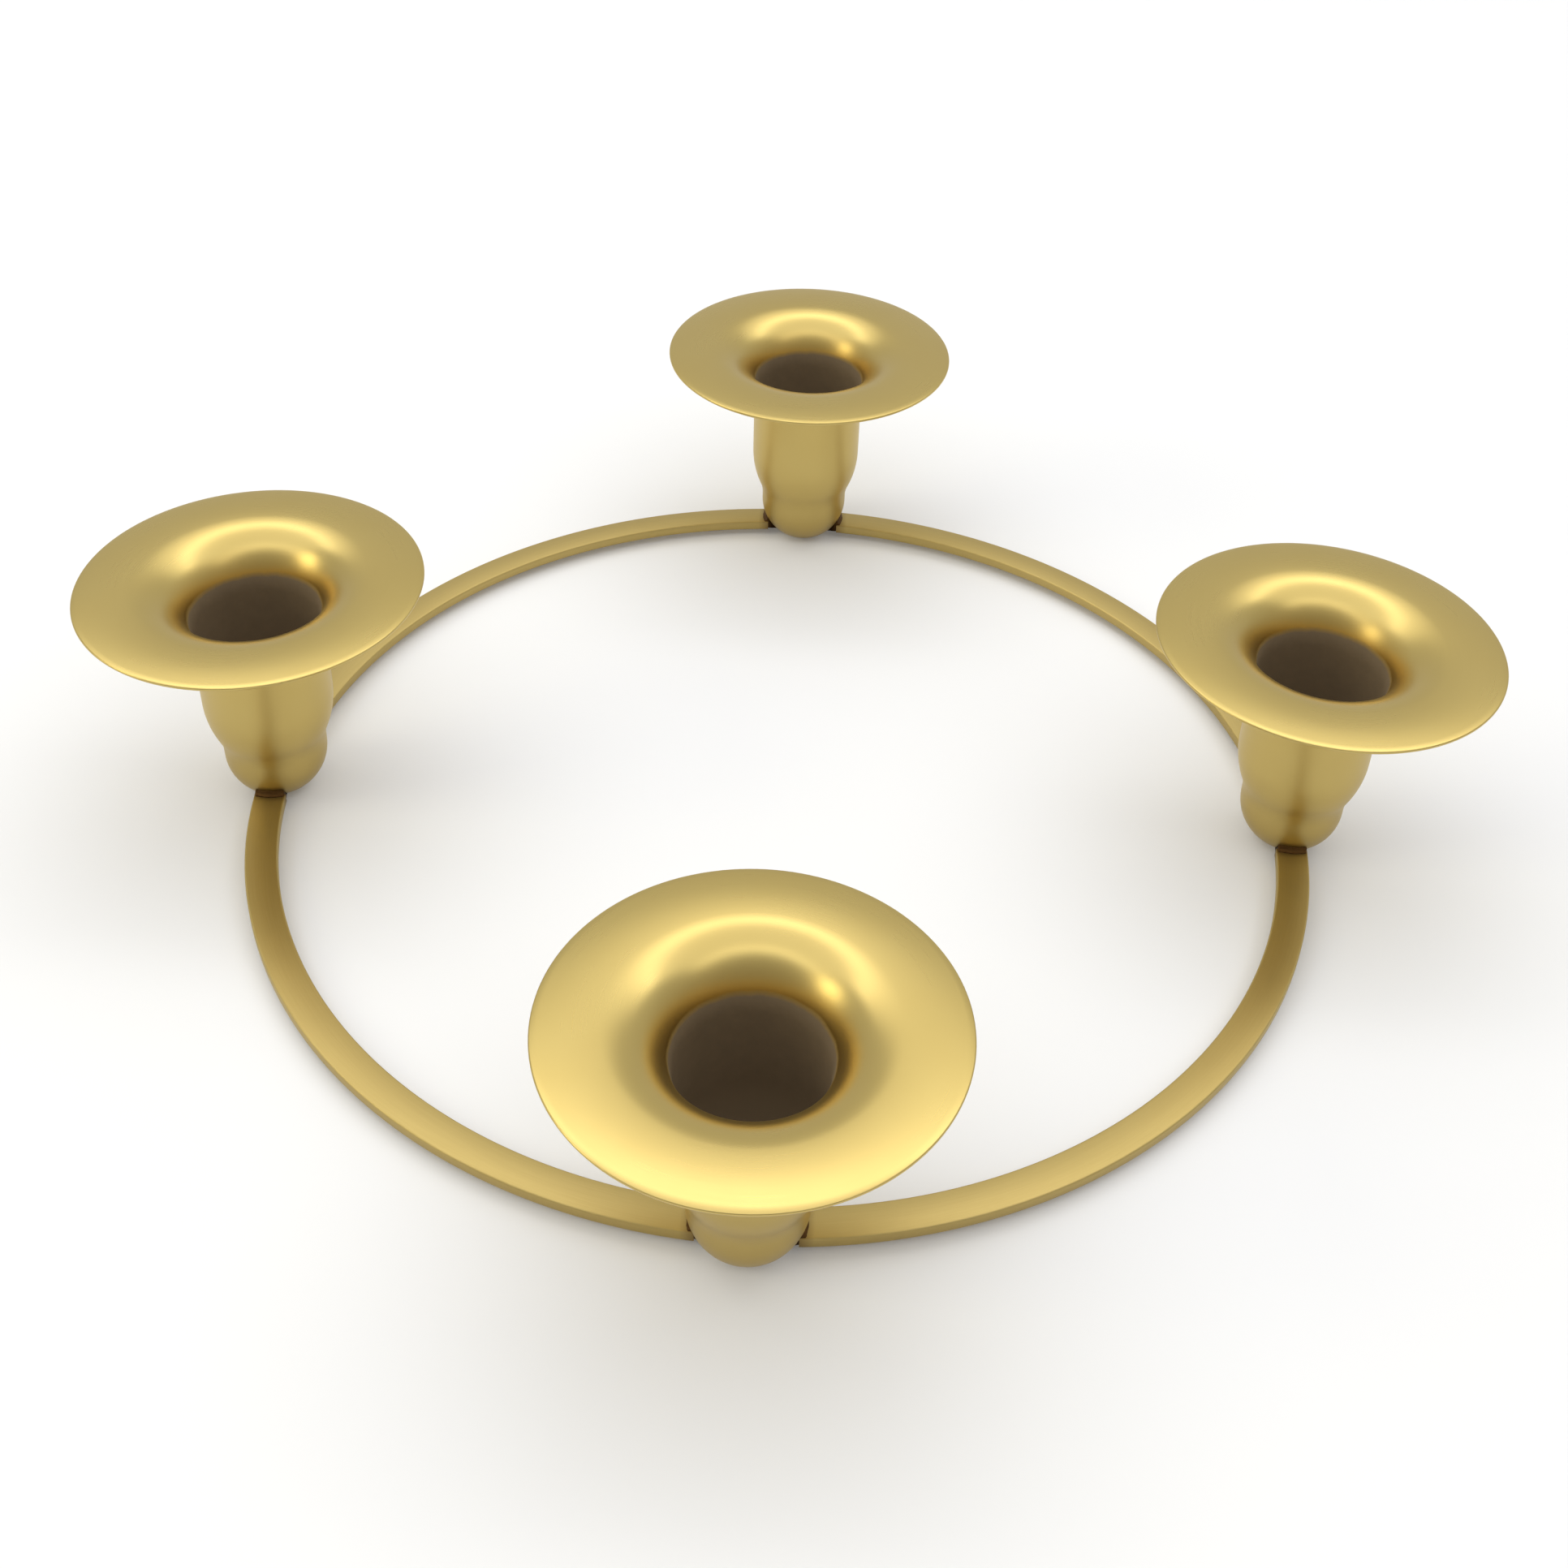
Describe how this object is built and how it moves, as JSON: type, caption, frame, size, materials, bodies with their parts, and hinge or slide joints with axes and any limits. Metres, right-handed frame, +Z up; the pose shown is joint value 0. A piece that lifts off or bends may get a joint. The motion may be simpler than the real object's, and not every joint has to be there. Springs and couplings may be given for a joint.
{
  "type": "ring candle holder",
  "caption": "Low candle ring: flat brass bars bent to one circle, joined by trumpet-mouthed candle cups whose rounded feet stand on the table.",
  "frame": {"origin": "on the table, under the centre of the ring", "axes": "+Z up along the ring's axis; cup_front stands on -Y, nearest the viewer, and cup_right on +X"},
  "size_m": [0.2484, 0.2484, 0.0462],
  "materials": {
    "cup_brass": "satin, lacquered, turned",
    "bar_brass": "satin, lacquered, brushed along",
    "braze": "rough, darkened by heat"
  },
  "bodies": {
    "root": {"cup_front": "cup_brass", "cup_right": "cup_brass", "cup_back": "cup_brass", "cup_left": "cup_brass", "bar_front_right": "bar_brass", "bar_right_back": "bar_brass", "bar_back_left": "bar_brass", "bar_left_front": "bar_brass", "braze_front": "braze", "braze_right": "braze", "braze_back": "braze", "braze_left": "braze"}
  },
  "joints": []
}
